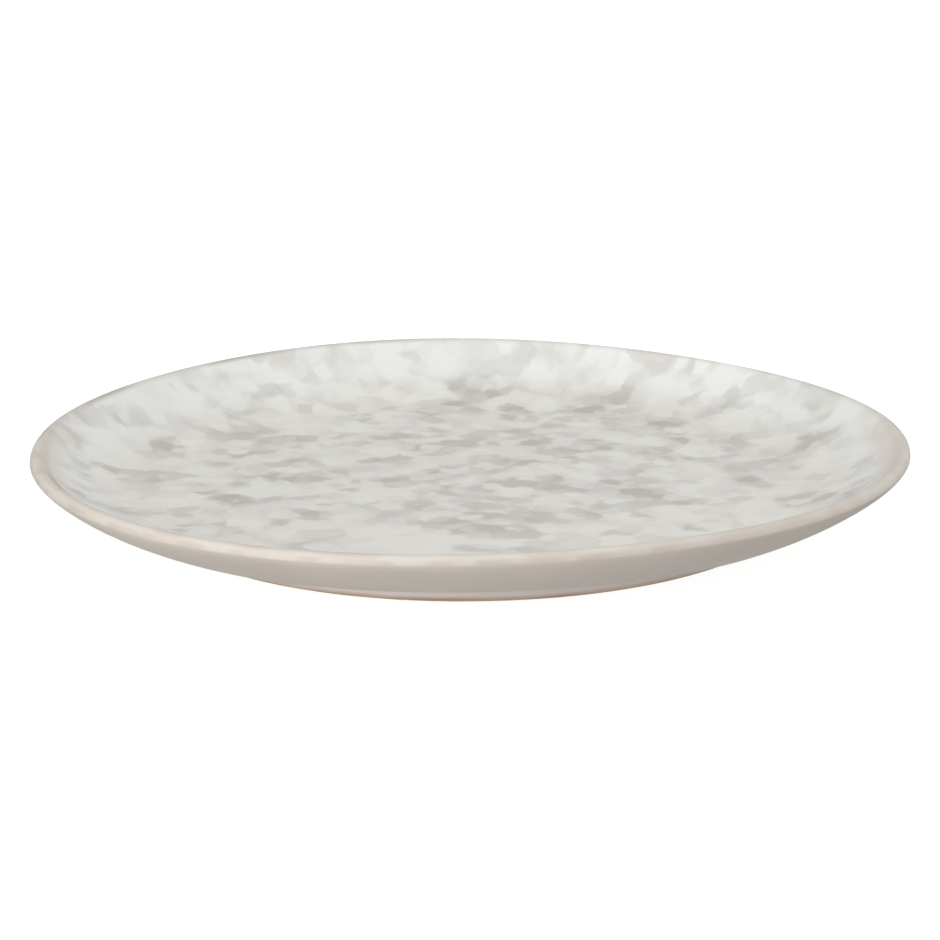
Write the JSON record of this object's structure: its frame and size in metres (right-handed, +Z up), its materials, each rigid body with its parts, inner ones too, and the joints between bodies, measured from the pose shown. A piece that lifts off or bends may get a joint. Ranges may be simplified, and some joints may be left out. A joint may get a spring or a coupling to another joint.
{
  "type": "plate",
  "caption": "Round stoneware coupe dinner plate with a flat well, an upturned bellied wall, a round lip and a low foot ring, glazed in mottled white over warm grey.",
  "frame": {"origin": "centre of the foot ring, on the surface that the plate stands on", "axes": "+Z up along the plate's axis; the plate is round, so X and Y are free"},
  "size_m": [0.26, 0.26, 0.0235],
  "materials": {
    "fired_clay": "bare fired stoneware, matt and slightly gritty, tan",
    "mottled_glaze": "satin glaze, soft white mottling over warm grey",
    "plain_glaze": "satin warm-grey glaze that breaks to cream along the lip",
    "recess_glaze": "satin warm-grey glaze"
  },
  "bodies": {
    "root": {"stoneware_body": "fired_clay", "face_glaze": "mottled_glaze", "outside_glaze": "plain_glaze", "recess_glaze": "recess_glaze"}
  },
  "joints": []
}
